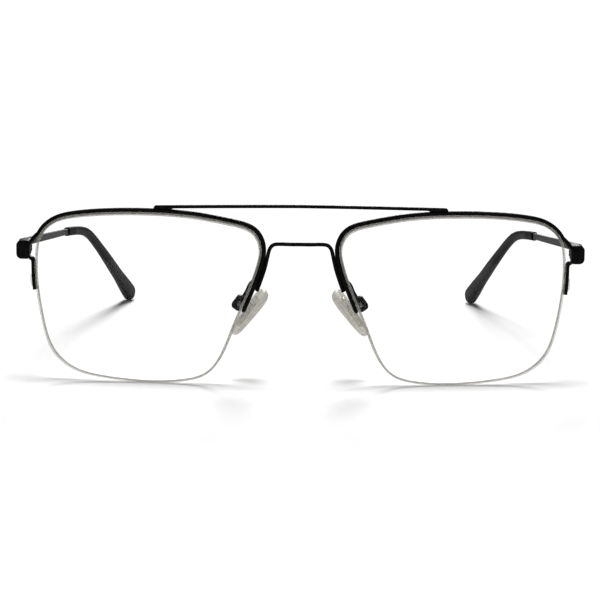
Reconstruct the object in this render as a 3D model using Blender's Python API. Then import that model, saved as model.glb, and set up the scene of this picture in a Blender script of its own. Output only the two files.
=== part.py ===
"""Half rim eyeglasses, built from separate pieces.

The glasses stand on a table on the two lenses and the two temple tips.
+X is the wearer's left, -X the wearer's right, the temples run back along +Y
and +Z is up. Dimensions are in millimetres until a mesh is written; one side
is described with x growing outward from the nose, and the other side is its
mirror image.
"""
import bpy
import bmesh
import numpy as np
from math import cos, hypot, pi, radians, sin, sqrt
from mathutils import Matrix, Vector

MM = 0.001
SIDES = {"right": -1.0, "left": 1.0}

# ---- lenses -------------------------------------------------------------
# Outline about the boxed centre: u grows towards the temple, v grows upward.
LENS_OUTLINE = (
    (0.0, 21.38), (10.0, 21.1), (18.4, 20.2), (24.0, 18.5), (27.5, 15.0), (28.6, 9.5),
    (28.3, 2.0), (26.8, -7.0), (24.2, -14.3), (19.6, -18.4), (11.0, -20.6), (0.0, -21.38),
    (-9.0, -20.9), (-15.2, -18.9), (-18.9, -14.4), (-22.4, -6.0), (-25.6, 1.6), (-28.1, 9.0),
    (-28.6, 12.8), (-26.8, 16.8), (-21.5, 19.0), (-12.0, 20.7),
)
LENS_CENTRE = Vector((38.45, 0.15, 21.38))    # of the left lens, front surface
LENS_WRAP = radians(7.0)                      # each lens turns back towards its temple
LENS_RADIUS = 132.0                           # base 4 curve
LENS_THICK = 2.0
LENS_STEPS = 72
LENS_CHAMFER = 0.14
GROOVE_WIDE = 0.62
GROOVE_DEEP = 0.62

# ---- half rims, liners and cords ---------------------------------------
FIT = 0.04                                    # gap between pieces that touch
RIM_THICK = 0.95
RIM_DEEP = 1.75
RIM_EDGE = 0.2
RIM_CHANNEL_DEEP = 0.32
RIM_NASAL_V = -2.4                            # where the rim stops beside the nose
RIM_TEMPLE_V = 14.9                           # where the rim leaves the lens
# The rim's last stretch: short of the block's face, and below the place where it leaves the lens.
RIM_TAIL = ((1.35, -1.1), (0.75, -1.95), (0.0, -2.55))
LINER_WIDE = 0.5
CORD_RADIUS = 0.22
CORD_SEAT = -0.34                             # cord centre inside the lens edge

# ---- brow bar and bridge -----------------------------------------------
BAR_HALF = 36.4
BAR_LUG = 4.2
BAR_TALL = 0.8
BAR_DEEP = 1.2
BAR_TOP = 45.1
BAR_DROP = 0.6                                # the ends lie lower than the middle
BAR_BACK = 2.4
BAR_BOW = 1.6
BAR_NOSE = 0.9                                # rounded length of each end
WIRE_RADIUS = 0.48
BRIDGE_TOP = ((0.0, 0.1, 35.38), (3.4, 0.15, 35.38), (5.6, 0.3, 35.38), (6.75, 0.42, 35.12), (7.42, 0.58, 34.45),
              (7.93, 0.85, 33.0))
LEG_OFFSET = RIM_THICK + 2 * FIT + WIRE_RADIUS
LEG_V = (9.6, 2.85)

# ---- endpieces, cord keepers and hinges --------------------------------
BLOCK_IN, BLOCK_OUT = 67.75, 71.1
BLOCK_LOW, BLOCK_TOP = 30.15, 34.85
BLOCK_FRONT = 7.1
BLOCK_ROUND = 1.3
HINGE = Vector((68.8, 13.0, 32.75))
TEMPLE_SLOPE = radians(4.1)
BARREL_RADIUS = 1.0
BARREL_HOLE = 0.62
SCREW_RADIUS = 0.5
SCREW_HEAD = 0.85
KNUCKLE = 0.78
KNUCKLE_GAP = 0.04
LEAF_FRONT = -1.62
LEAF_THICK = 0.5
LEAF_START, LEAF_LONG, LEAF_TALL = 1.1, 3.6, 1.1
KEEPER_WIDE = 0.85
KEEPER_DEEP = 1.9
KEEPER_HOLE_V = (2.15, 5.0)
KEEPER_HOLE = 0.4
KEEPER_END_V = 1.35
KEEPER_TOP_V = 8.0
KEEPER_RISE = 0.3                              # arm centre above the block's underside
KEEPER_BEND = ((0.55, 0.06), (0.2, 0.24), (0.03, 0.6))

# ---- temples ------------------------------------------------------------
# Centre line of the left temple: hinge, straight run, bend and drop.
TEMPLE_PATH = ((70.45, 11.9, 33.6), (69.9, 22.0, 32.95), (68.7, 39.0, 31.75), (67.3, 60.0, 30.2),
               (66.3, 76.5, 28.95), (64.9, 88.5, 27.9), (62.95, 98.5, 26.05), (61.35, 106.0, 22.6),
               (59.6, 114.5, 17.9), (56.8, 127.5, 10.1), (54.0, 139.9, 2.35))
STRIP_WIDE = 1.0
STRIP_TALL = (2.1, 1.65)                     # at the hinge end, at the tip cover
BUTT_TALL = 3.1
CORE_WIDE, CORE_TALL = 0.9, 1.1
COVER_START_Y = 76.5
COVER_GAP = 0.06
COVER_SIZE = ((1.95, 2.5), (1.95, 2.55), (2.2, 2.85), (2.7, 3.7), (3.7, 5.0))
COVER_SIDES = 10
TEMPLE_STEPS = 45
CORE_SHORT = 9.0

# ---- nose pads ----------------------------------------------------------
PAD_PIVOT = Vector((15.1, 7.9, 19.4))
PAD_CENTRE = Vector((12.62, 8.0, 17.07))
PAD_LEAN = radians(36.0)
PAD_SPLAY = radians(9.0)
PAD_LONG, PAD_WIDE, PAD_THICK = 13.9, 7.6, 2.0
PAD_SQUARE = 2.9                              # 2 is an ellipse, more is fuller at the ends
PAD_TAPER, PAD_WEDGE = 0.28, 0.25             # how much narrower and thinner the lower end is
CORE_PLATE = (8.6, 3.6, 0.6)
BOX_SIZE = (2.8, 2.4, 3.7)                    # across, deep, along the pad's lean
BOX_ROUND = 0.9
BOX_OFF = 0.25                                # box centre, outboard of the pad screw
BOX_SLOT = 0.95
LUG_THICK = 0.8
LUG_RADIUS = 1.0
PIN_RADIUS = 0.42
PIN_HOLE = 0.52
ARM_RADIUS = 0.45
ARM_PATH = ((11.4, 2.2, 25.9), (11.75, 4.0, 25.55), (12.35, 6.0, 24.85), (12.9, 7.5, 23.75), (13.4, 8.0, 22.55),
            (14.22, 7.9, 21.13))

# ---- place in the world -------------------------------------------------
DEPTH_CENTRE = 70.4                           # middle of the whole length, behind the lens fronts

MATERIALS = {
    "frame_black": ((0.012, 0.012, 0.013, 1), 0.38, 0.9),
    "temple_metal": ((0.07, 0.07, 0.068, 1), 0.42, 0.95),
    "tip_charcoal": ((0.035, 0.035, 0.036, 1), 0.5, 0.0),
    "lens_clear": ((0.93, 0.94, 0.93, 0.25), 0.03, 0.0),
    "nylon_clear": ((0.72, 0.7, 0.66, 1), 0.35, 0.0),
    "silicone_clear": ((0.75, 0.73, 0.7, 0.6), 0.3, 0.0),
    "screw_dark": ((0.05, 0.05, 0.05, 1), 0.3, 1.0),
}


# ---- scene helpers ------------------------------------------------------
def clear_scene():
    for item in list(bpy.data.objects):
        bpy.data.objects.remove(item, do_unlink=True)


def material(name):
    made = bpy.data.materials.get(name)
    if made:
        return made
    colour, rough, metal = MATERIALS[name]
    made = bpy.data.materials.new(name)
    made.use_nodes = True
    shader = made.node_tree.nodes["Principled BSDF"]
    shader.inputs["Base Color"].default_value = colour
    shader.inputs["Roughness"].default_value = rough
    shader.inputs["Metallic"].default_value = metal
    shader.inputs["Alpha"].default_value = colour[3]
    return made


def empty(name, place, turn=None, parent=None):
    made = bpy.data.objects.new(name, None)
    bpy.context.scene.collection.objects.link(made)
    made.parent = parent
    made.matrix_local = Matrix.Translation(Vector(place) * MM) @ (turn or Matrix.Identity(4))
    return made


def solid(name, mesh_data, parent, slot, side=1.0):
    """One closed body from rings of points in millimetres, mirrored for the other side."""
    mesh = bpy.data.meshes.new(name)
    mesh_data.transform(Matrix.Diagonal((side * MM, MM, MM, 1.0)))
    bmesh.ops.recalc_face_normals(mesh_data, faces=mesh_data.faces)
    mesh_data.to_mesh(mesh)
    mesh_data.free()
    mesh.shade_smooth()
    mesh.set_sharp_from_angle(angle=radians(35))
    made = bpy.data.objects.new(name, mesh)
    made.data.materials.append(material(slot))
    bpy.context.scene.collection.objects.link(made)
    made.parent = parent
    return made


def cut(target, cutters):
    """Subtract closed bodies from a piece."""
    for index, cutter in enumerate(cutters):
        cutter.hide_render = True
        cutter.display_type = "WIRE"
        change = target.modifiers.new("cut_%d" % index, "BOOLEAN")
        change.operation = "DIFFERENCE"
        change.solver = "EXACT"
        change.object = cutter


# ---- curves -------------------------------------------------------------
def smooth_curve(points, count, closed=False):
    """Points along the cubic spline through the given ones, evenly spaced."""
    knots = np.array(points, float)
    if closed:
        knots = np.vstack([knots[-3:], knots, knots[:4]])
    reach = np.concatenate([[0.0], np.cumsum(np.linalg.norm(np.diff(knots, axis=0), axis=1))])
    gap = np.diff(reach)
    size = len(knots)
    system = np.eye(size)
    right = np.zeros_like(knots)
    for i in range(1, size - 1):
        system[i, i - 1:i + 2] = gap[i - 1], 2 * (gap[i - 1] + gap[i]), gap[i]
        right[i] = 6 * ((knots[i + 1] - knots[i]) / gap[i] - (knots[i] - knots[i - 1]) / gap[i - 1])
    bend = np.linalg.solve(system, right)

    def at(distance):
        i = int(np.clip(np.searchsorted(reach, distance) - 1, 0, size - 2))
        a, b = reach[i + 1] - distance, distance - reach[i]
        return ((bend[i] * a ** 3 + bend[i + 1] * b ** 3) / (6 * gap[i])
                + (knots[i] / gap[i] - bend[i] * gap[i] / 6) * a
                + (knots[i + 1] / gap[i] - bend[i + 1] * gap[i] / 6) * b)

    first, last = (reach[3], reach[-4]) if closed else (0.0, reach[-1])
    fine = np.array([at(d) for d in np.linspace(first, last, 40 * len(points))])
    run = np.concatenate([[0.0], np.cumsum(np.linalg.norm(np.diff(fine, axis=0), axis=1))])
    wanted = np.linspace(0.0, run[-1], count + 1)[:-1] if closed else np.linspace(0.0, run[-1], count)
    return [np.array([np.interp(d, run, fine[:, k]) for k in range(fine.shape[1])]) for d in wanted]


def lens_normals(outline):
    """Outward unit normals of a closed run of outline points."""
    normals = []
    for i in range(len(outline)):
        step = outline[(i + 1) % len(outline)] - outline[i - 1]
        normal = np.array((-step[1], step[0])) / hypot(step[0], step[1])
        normals.append(-normal if normal @ outline[i] < 0 else normal)
    return normals


def lens_sag(u, v):
    return sqrt(LENS_RADIUS ** 2 - u * u - v * v) - LENS_RADIUS


def lens_to_front(u, v, w):
    """A place u out, v up and w forward of the lens centre, in the frame's own space."""
    return LENS_CENTRE + Vector((u * cos(LENS_WRAP) + w * sin(LENS_WRAP),
                                 u * sin(LENS_WRAP) - w * cos(LENS_WRAP), v))


def edge_place(point, normal, out, forward):
    """A place beside the lens edge: out of the outline, forward of its middle."""
    u, v = point + normal * out
    return lens_to_front(u, v, lens_sag(*point) - LENS_THICK / 2 + forward)


def edge_run(start_v, end_v, over_top):
    """Outline places and normals from the nose side to the temple side, on the lens's own stations."""
    outline = smooth_curve(LENS_OUTLINE, LENS_STEPS, closed=True)
    stations = list(zip(outline, lens_normals(outline)))
    top = max(range(LENS_STEPS), key=lambda i: outline[i][1])
    ahead = 1 if outline[(top + 1) % LENS_STEPS][0] > outline[top][0] else -1
    middle = top if over_top else min(range(LENS_STEPS), key=lambda i: outline[i][1])
    outward = ahead if over_top else -ahead
    halves = []
    for way, goal in ((-outward, start_v), (outward, end_v)):
        half = [stations[middle]]
        while (half[-1][0][1] > goal) == over_top:
            half.append(stations[(middle + way * len(half)) % LENS_STEPS])
        last, spare = half[-2], half.pop()
        share = (goal - last[0][1]) / (spare[0][1] - last[0][1])
        if share > 0.02:
            half.append(tuple(last[k] + (spare[k] - last[k]) * share for k in (0, 1)))
        halves.append(half)
    return halves[0][:0:-1] + halves[1]


# ---- meshes -------------------------------------------------------------
def loft(rings, closed=False, start_cap=True, end_cap=True):
    """A skin through rings of equal length."""
    made = bmesh.new()
    rows = [[made.verts.new(point) for point in ring] for ring in rings]
    count = len(rows[0])
    pairs = list(zip(rows, rows[1:] + rows[:1])) if closed else list(zip(rows, rows[1:]))
    for low, high in pairs:
        for i in range(count):
            j = (i + 1) % count
            made.faces.new((low[i], low[j], high[j], high[i]))
    if not closed and start_cap:
        made.faces.new(rows[0])
    if not closed and end_cap:
        made.faces.new(rows[-1])
    return made


def tangents(path):
    steps = []
    for i in range(len(path)):
        step = Vector(path[min(i + 1, len(path) - 1)]) - Vector(path[max(i - 1, 0)])
        steps.append(step.normalized())
    return steps


def circle(radius, sides, phase=0.0):
    return [(radius * cos(2 * pi * k / sides + phase), radius * sin(2 * pi * k / sides + phase)) for k in range(sides)]


def round_box(wide, tall, edge, steps=3):
    """A rectangle outline with rounded corners."""
    points = []
    for corner in range(4):
        cx = (wide / 2 - edge) * (1 if corner in (0, 3) else -1)
        cy = (tall / 2 - edge) * (1 if corner in (0, 1) else -1)
        for k in range(steps + 1):
            angle = pi / 2 * (corner + k / steps)
            points.append((cx + edge * cos(angle), cy + edge * sin(angle)))
    return points


def tube(path, radius, sides=8, up=(0.0, 0.0, 1.0)):
    """A round wire along a path, with flat ends and no twist."""
    rings = []
    across = None
    for place, way in zip(path, tangents(path)):
        across = Vector(up).cross(way) if across is None else across - way * across.dot(way)
        across.normalize()
        lift = way.cross(across)
        rings.append([Vector(place) + across * a + lift * b for a, b in circle(radius, sides, pi / sides)])
    return loft(rings)


def cylinder(radius, start, end, sides=16):
    start, end = Vector(start), Vector(end)
    way = (end - start).normalized()
    across = way.orthogonal().normalized() if abs(way.z) < 0.9 else Vector((1, 0, 0))
    across = (across - way * across.dot(way)).normalized()
    lift = way.cross(across)
    ring = circle(radius, sides)
    return loft([[p + across * a + lift * b for a, b in ring] for p in (start, end)])


def join_bodies(name, bodies, parent, slot, side):
    """Union of closed bodies into one piece."""
    main = solid(name, bodies[0], parent, slot, side)
    for index, body in enumerate(bodies[1:]):
        other = solid("%s.add%d" % (name, index), body, parent, slot, side)
        other.hide_render = True
        other.display_type = "WIRE"
        change = main.modifiers.new("add_%d" % index, "BOOLEAN")
        change.operation = "UNION"
        change.solver = "EXACT"
        change.object = other
    return main


# ---- lenses, rims, liners and cords ------------------------------------
def make_lens(name, side, parent):
    outline = smooth_curve(LENS_OUTLINE, LENS_STEPS, closed=True)
    normals = lens_normals(outline)
    half = GROOVE_WIDE / 2
    middle = -LENS_THICK / 2
    profile = ((LENS_CHAMFER, 0.0), (0.0, -LENS_CHAMFER), (0.0, middle + half), (GROOVE_DEEP, middle + half),
               (GROOVE_DEEP, middle - half), (0.0, middle - half), (0.0, LENS_CHAMFER - LENS_THICK),
               (LENS_CHAMFER, -LENS_THICK))
    rings = [[lens_to_front(*(p / 2), lens_sag(*(p / 2))) for p in outline]]
    for inset, depth in profile:
        rings.append([lens_to_front(*(p - n * inset), lens_sag(*p) + depth) for p, n in zip(outline, normals)])
    rings.append([lens_to_front(*(p / 2), lens_sag(*(p / 2)) - LENS_THICK) for p in outline])
    made = loft(rings, start_cap=False, end_cap=False)
    made.verts.ensure_lookup_table()
    for first, depth in ((0, 0.0), ((len(rings) - 1) * LENS_STEPS, LENS_THICK)):
        hub = made.verts.new(lens_to_front(0.0, 0.0, -depth))
        made.verts.ensure_lookup_table()
        for i in range(LENS_STEPS):
            made.faces.new((hub, made.verts[first + i], made.verts[first + (i + 1) % LENS_STEPS]))
    return solid(name, made, parent, "lens_clear", side)


def rim_profile():
    inner, outer = FIT, FIT + RIM_THICK
    half, edge = RIM_DEEP / 2, RIM_EDGE
    groove = GROOVE_WIDE / 2
    floor = inner + RIM_CHANNEL_DEEP
    return ((inner, -half), (outer - edge, -half), (outer, edge - half), (outer, half - edge), (outer - edge, half),
            (inner, half), (inner, groove), (floor, groove), (floor, -groove), (inner, -groove))


def make_rim(name, side, parent):
    """Channel wire over the top of a lens, turned outward onto the endpiece block."""
    profile = rim_profile()
    rings = []
    for place, normal in edge_run(RIM_NASAL_V, RIM_TEMPLE_V, True):
        rings.append([edge_place(place, normal, out, forward) for out, forward in profile])
    leave = edge_place(*edge_run(RIM_NASAL_V, RIM_TEMPLE_V, True)[-1], 0.0, 0.0)
    tail = [Vector((BLOCK_IN - FIT - back, leave.y + 0.1, leave.z + down)) for back, down in RIM_TAIL]
    fore = Vector((sin(LENS_WRAP), -cos(LENS_WRAP), 0))
    for place, way in list(zip([leave] + tail, tangents([leave] + tail)))[1:]:
        out = fore.cross(way).normalized()
        rings.append([place + out * a + fore * b for a, b in profile])
    rings[-1] = [Vector((BLOCK_IN - FIT, point.y, point.z)) for point in rings[-1]]
    return solid(name, loft(rings), parent, "frame_black", side)


def make_liner(name, side, parent):
    """Clear bead that sits in the rim's channel and the lens groove."""
    half = LINER_WIDE / 2
    low, high = -GROOVE_DEEP + FIT, RIM_CHANNEL_DEEP
    profile = ((low, -half), (high, -half), (high, half), (low, half))
    rings = []
    for place, normal in edge_run(RIM_NASAL_V + 2.6, RIM_TEMPLE_V - 0.6, True):
        rings.append([edge_place(place, normal, out, forward) for out, forward in profile])
    return solid(name, loft(rings), parent, "nylon_clear", side)


def cord_path():
    """Under the lens in its groove, then out and back through the keeper's two holes."""
    low, high = KEEPER_HOLE_V
    under = edge_run(RIM_NASAL_V + 1.2, low - 0.6, False)
    path = [edge_place(place, normal, CORD_SEAT, 0.0) for place, normal in under]
    out = KEEPER_WIDE + 2 * FIT + 0.2
    for v, reach in ((low - 0.2, CORD_SEAT + 0.03), (low - 0.02, 0.0), (low, 0.3), (low, out - 0.15),
                     (low + 0.12, out + 0.05), (low + 0.4, out + 0.12), (high - 0.4, out + 0.12),
                     (high - 0.12, out + 0.05), (high, out - 0.15), (high, 0.0)):
        path.append(edge_place(*edge_run(RIM_NASAL_V, v, False)[-1], reach, 0.0))
    return path


def make_cord(name, side, parent):
    return solid(name, tube(cord_path(), CORD_RADIUS, 6, up=(0.0, 1.0, 0.0)), parent, "nylon_clear", side)


# ---- brow bar and bridge -----------------------------------------------
def make_brow_bar(parent):
    """Flat bar over the nose; each end thickens downward into the lug brazed on a rim."""
    rings = []
    lug = BAR_HALF - BAR_LUG
    stations = [0.0, 6.0, 12.0, 18.0, 24.0, 29.0, lug - 0.6, lug, lug + 1.4, BAR_HALF - 1.0, BAR_HALF - 0.35, BAR_HALF]
    for x in [-s for s in reversed(stations[1:])] + stations:
        reach = abs(x) / BAR_HALF
        top = BAR_TOP - BAR_DROP * reach ** 1.5
        low = top - BAR_TALL
        if abs(x) >= lug:
            low = rim_top(abs(x)) + FIT
        if abs(x) > BAR_HALF - BAR_NOSE:
            top -= 0.1 if abs(x) < BAR_HALF else 0.45
        back = BAR_BACK - BAR_BOW * (1 - reach ** 2)
        half, edge = BAR_DEEP / 2, 0.15
        rings.append([Vector((x, back + y, z)) for y, z in (
            (-half, low + edge), (-half, top - edge), (edge - half, top), (half - edge, top),
            (half, top - edge), (half, low + edge), (half - edge, low), (edge - half, low))])
    return solid("brow_bar", loft(rings), parent, "frame_black")


def rim_top(x):
    """Height of the rim's upper face at a distance from the middle."""
    places = [edge_place(p, n, FIT + RIM_THICK, 0.0) for p, n in edge_run(16.0, 16.0, True)]
    return float(np.interp(x, [p.x for p in places], [p.z for p in places]))


def make_bridge(parent):
    """Round wire across the nose with two legs brazed down the rims' nose sides."""
    run = [(p, n) for p, n in edge_run(LEG_V[1], 16.0, True) if p[0] < -20 and p[1] <= LEG_V[0]]
    leg = [edge_place(p, n, LEG_OFFSET, 0.0) for p, n in reversed(run)]
    half = smooth_curve([tuple(p) for p in BRIDGE_TOP] + [tuple(p) for p in leg], 26)
    path = [Vector((-p[0], p[1], p[2])) for p in reversed(half[1:])] + [Vector(p) for p in half]
    return solid("bridge", tube(path, WIRE_RADIUS, 8, up=(0.0, 1.0, 0.0)), parent, "frame_black")


# ---- endpieces and hinges ----------------------------------------------
def hinge_frame():
    return Matrix.Translation(HINGE) @ Matrix.Rotation(-TEMPLE_SLOPE, 4, "X")


def make_endpiece(name, side, parent):
    """Block in front of the hinge, its outer corners well rounded."""
    wide, tall = BLOCK_OUT - BLOCK_IN, BLOCK_TOP - BLOCK_LOW
    cx, cz = (BLOCK_OUT + BLOCK_IN) / 2, (BLOCK_TOP + BLOCK_LOW) / 2
    outline = []
    for x, z in round_box(wide, tall, BLOCK_ROUND, 4):
        if x < 0:
            x = max(x, -wide / 2) if abs(z) < tall / 2 - 0.35 else max(x - 0.6, -wide / 2)
        outline.append((cx + x, cz + z))
    back_face = hinge_frame()
    rings = []
    for depth, shrink in ((0.0, 0.3), (0.3, 0.0)):
        rings.append([Vector((cx + (x - cx) * (1 - shrink / wide), BLOCK_FRONT + depth,
                              cz + (z - cz) * (1 - shrink / tall))) for x, z in outline])
    rear = []
    for x, z in outline:
        local = back_face.inverted() @ Vector((x, HINGE.y, z))
        rear.append(back_face @ Vector((local.x, LEAF_FRONT - FIT, local.z)))
    rings.append(rear)
    return solid(name, loft(rings), parent, "frame_black", side)


def make_keeper(name, side, parent):
    """Arm and strut down the lens edge, with the two holes that hold the cord."""
    offset = 2 * FIT + KEEPER_WIDE / 2
    strut = [(p, n) for p, n in edge_run(RIM_NASAL_V, KEEPER_END_V, True) if p[0] > 20 and p[1] <= KEEPER_TOP_V]
    down = [edge_place(p, n, offset, 0.0) for p, n in strut]
    start = Vector((BLOCK_IN - FIT, down[0].y, BLOCK_LOW + KEEPER_RISE))
    corner = Vector((down[0].x, down[0].y, start.z))
    path = [start] + [corner + (start - corner) * a + (down[0] - corner) * b for a, b in KEEPER_BEND] + down
    fore = Vector((sin(LENS_WRAP), -cos(LENS_WRAP), 0))
    rings = []
    for place, way in zip(path, tangents(path)):
        out = fore.cross(way).normalized()
        rings.append([place + out * a + fore * b for a, b in round_box(KEEPER_WIDE, KEEPER_DEEP, 0.18, 1)])
    for k, point in enumerate(rings[0]):
        rings[0][k] = Vector((start.x, point.y, point.z))
    made = solid(name, loft(rings), parent, "frame_black", side)
    cutters = []
    for index, v in enumerate(KEEPER_HOLE_V):
        place, normal = edge_run(RIM_NASAL_V, v, False)[-1]
        ends = edge_place(place, normal, -0.6, 0.0), edge_place(place, normal, KEEPER_WIDE + 1.2, 0.0)
        cutters.append(solid("%s.hole%d" % (name, index), cylinder(KEEPER_HOLE, *ends, sides=10), parent,
                             "frame_black", side))
    cut(made, cutters)
    return made


def knuckle(low, high):
    return cylinder(BARREL_RADIUS, (0, 0, low), (0, 0, high), 20)


def slab(low, high):
    """A box between two corners."""
    (x0, y0, z0), (x1, y1, z1) = low, high
    return loft([[Vector((x0, y0, z)), Vector((x1, y0, z)), Vector((x1, y1, z)), Vector((x0, y1, z))] for z in (z0, z1)])


def make_front_hinge(name, side, pivot):
    """Plate on the endpiece with the upper and lower knuckles."""
    tall = 1.5 * KNUCKLE + KNUCKLE_GAP
    inner = KNUCKLE / 2 + KNUCKLE_GAP
    plate = slab((-0.98, LEAF_FRONT, -tall), (0.9, LEAF_FRONT + LEAF_THICK, tall))
    bodies = [plate]
    for low, high in ((-tall, -inner), (inner, tall)):
        bodies.append(knuckle(low, high))
        bodies.append(slab((-0.75, LEAF_FRONT + 0.1, low), (0.75, 0.2, high)))
    made = join_bodies(name, bodies, pivot, "frame_black", side)
    cut(made, [solid(name + ".bore", cylinder(BARREL_HOLE, (0, 0, -2), (0, 0, 2), 16), pivot, "frame_black", side)])
    return made


def make_temple_hinge(name, side, pivot):
    """Single knuckle and the plate brazed on the inner face of the temple."""
    half = KNUCKLE / 2
    rows = temple_local()
    rings = []
    for y in (LEAF_START, LEAF_START + LEAF_LONG):
        face = float(np.interp(y, [r[0].y for r in rows], [r[0].x for r in rows])) - STRIP_WIDE / 2 - 0.13
        rings.append([Vector((x, y, z)) for x, z in ((face - 0.4, -LEAF_TALL), (face, -LEAF_TALL),
                                                     (face, LEAF_TALL), (face - 0.4, LEAF_TALL))])
    plate = loft(rings)
    arm = slab((0.1, -0.3, -half), (rings[0][1].x - 0.1, LEAF_START + 0.6, half))
    made = join_bodies(name, [knuckle(-half, half), arm, plate], pivot, "temple_metal", side)
    cut(made, [solid(name + ".bore", cylinder(BARREL_HOLE, (0, 0, -2), (0, 0, 2), 16), pivot, "frame_black", side)])
    return made


def make_hinge_screw(name, side, pivot):
    """Turned screw: head above the upper knuckle, shank down through all three."""
    tall = 1.5 * KNUCKLE + KNUCKLE_GAP
    rings = []
    for radius, z in ((SCREW_HEAD - 0.15, tall + 0.42), (SCREW_HEAD, tall + 0.3), (SCREW_HEAD, tall + FIT),
                      (SCREW_RADIUS, tall + FIT), (SCREW_RADIUS, -tall - 0.1), (SCREW_RADIUS - 0.12, -tall - 0.22)):
        rings.append([Vector((a, b, z)) for a, b in circle(radius, 16)])
    made = solid(name, loft(rings), pivot, "screw_dark", side)
    slot = slab((-1.2, -0.1, tall + 0.24), (1.2, 0.1, tall + 0.8))
    cut(made, [solid(name + ".slot", slot, pivot, "screw_dark", side)])
    return made


# ---- temples ------------------------------------------------------------
def temple_local():
    """The temple's centre line and its across and up directions, in the hinge's space."""
    back = hinge_frame().inverted()
    places = [back @ Vector(p) for p in smooth_curve(TEMPLE_PATH, TEMPLE_STEPS)]
    rows = []
    for place, way in zip(places, tangents(places)):
        across = way.cross(Vector((0, 0, 1))).normalized()
        rows.append((place, across, across.cross(way)))
    return rows


def distance_share(rows, index, first, last):
    return min(max((rows[index][0].y - rows[first][0].y) / (rows[last][0].y - rows[first][0].y), 0.0), 1.0)


def cover_first(rows):
    start = hinge_frame().inverted() @ Vector((0, COVER_START_Y, 29))
    return min(range(len(rows)), key=lambda i: abs(rows[i][0].y - start.y))


def section(row, wide, tall, sides, shift=0.0, square=4.0):
    """A rounded section: an ellipse swelled towards its box by the power given."""
    place, across, up = row
    points = []
    for k in range(sides):
        angle = 2 * pi * (k + 0.5) / sides
        c, s = cos(angle), sin(angle)
        grow = (abs(c) ** square + abs(s) ** square) ** (-1 / square)
        points.append(place + across * (wide / 2 * c * grow) + up * (tall / 2 * s * grow + shift))
    return points


def make_temple(name, side, pivot):
    """Flat strip from the hinge butt back, thinning to the core inside the tip."""
    rows = temple_local()
    first = cover_first(rows)
    last = len(rows) - 1 - round(CORE_SHORT / (rows[-1][0] - rows[-2][0]).length)
    rings = []
    for i in range(0, last + 1):
        if i < first + 1:
            share = distance_share(rows, i, 0, first)
            tall = STRIP_TALL[0] + (STRIP_TALL[1] - STRIP_TALL[0]) * share
            swell = max(0.0, 1 - i / 4.0)
            rings.append(section(rows[i], STRIP_WIDE + 0.2 * swell, tall + (BUTT_TALL - tall) * swell, 8,
                                 -(BUTT_TALL - tall) / 2 * swell, 8.0))
        else:
            rings.append(section(rows[i], CORE_WIDE, CORE_TALL, 8, 0.0, 8.0))
    return solid(name, loft(rings), pivot, "temple_metal", side)


def cover_sizes(share):
    spans = len(COVER_SIZE) - 1
    k = min(int(share * spans), spans - 1)
    t = share * spans - k
    return [COVER_SIZE[k][j] * (1 - t) + COVER_SIZE[k + 1][j] * t for j in (0, 1)]


def make_tip(name, side, pivot):
    """Moulded sleeve over the end of the temple, with a blind bore for its core."""
    rows = temple_local()
    first = cover_first(rows) + 1
    last = len(rows) - 1
    core_end = last - round(CORE_SHORT / (rows[-1][0] - rows[-2][0]).length)
    rings = []
    for i in range(core_end, first - 1, -1):
        deeper = rows[i] if i < core_end else (rows[i][0] + (rows[i][0] - rows[i - 1][0]).normalized() * 0.3,) + rows[i][1:]
        rings.append(section(deeper, CORE_WIDE + 2 * COVER_GAP, CORE_TALL + 2 * COVER_GAP, COVER_SIDES, 0.0, 8.0))
    for i in range(first, last + 1):
        wide, tall = cover_sizes((i - first) / (last - first))
        rings.append(section(rows[i], wide, tall, COVER_SIDES, 0.0, 2.6))
    place, across, up = rows[last]
    way = (rows[last][0] - rows[last - 1][0]).normalized()
    for ahead, shrink in ((0.9, 0.88), (1.5, 0.62), (1.75, 0.3)):
        wide, tall = (size * shrink for size in COVER_SIZE[-1])
        rings.append(section((place + way * ahead, across, up), wide, tall, COVER_SIDES, 0.0, 2.6))
    return solid(name, loft(rings), pivot, "tip_charcoal", side)


# ---- nose pads ----------------------------------------------------------
def pad_frame():
    """Pad space: x along its width, y along its length (up), z out of the face to the nose."""
    long_way = Vector((-sin(PAD_LEAN), 0, cos(PAD_LEAN)))
    face = Vector((-cos(PAD_LEAN), 0, -sin(PAD_LEAN)))
    face = face * cos(PAD_SPLAY) + Vector((0, 1, 0)) * sin(PAD_SPLAY)
    across = long_way.cross(face)
    turn = Matrix((across, long_way, face)).transposed().to_4x4()
    return Matrix.Translation(PAD_CENTRE - PAD_PIVOT) @ turn


def pad_outline(scale, steps=24):
    """Long outline with blunt ends, wider at its upper end."""
    points = []
    for k in range(steps):
        angle = 2 * pi * (k + 0.5) / steps
        c, s = cos(angle), sin(angle)
        grow = scale * (abs(c) ** PAD_SQUARE + abs(s) ** PAD_SQUARE) ** (-1 / PAD_SQUARE)
        points.append((PAD_WIDE / 2 * c * grow * (1 + PAD_TAPER * s), PAD_LONG / 2 * s * grow))
    return points


def pad_layer(scale, z):
    """One ring of the pad; the face side thins toward the lower end, the back stays flat."""
    wedge = 2 * PAD_WEDGE / PAD_LONG if z > 0 else 0.0
    return [Vector((x, y, z * (1 + wedge * y))) for x, y in pad_outline(scale)]


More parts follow.
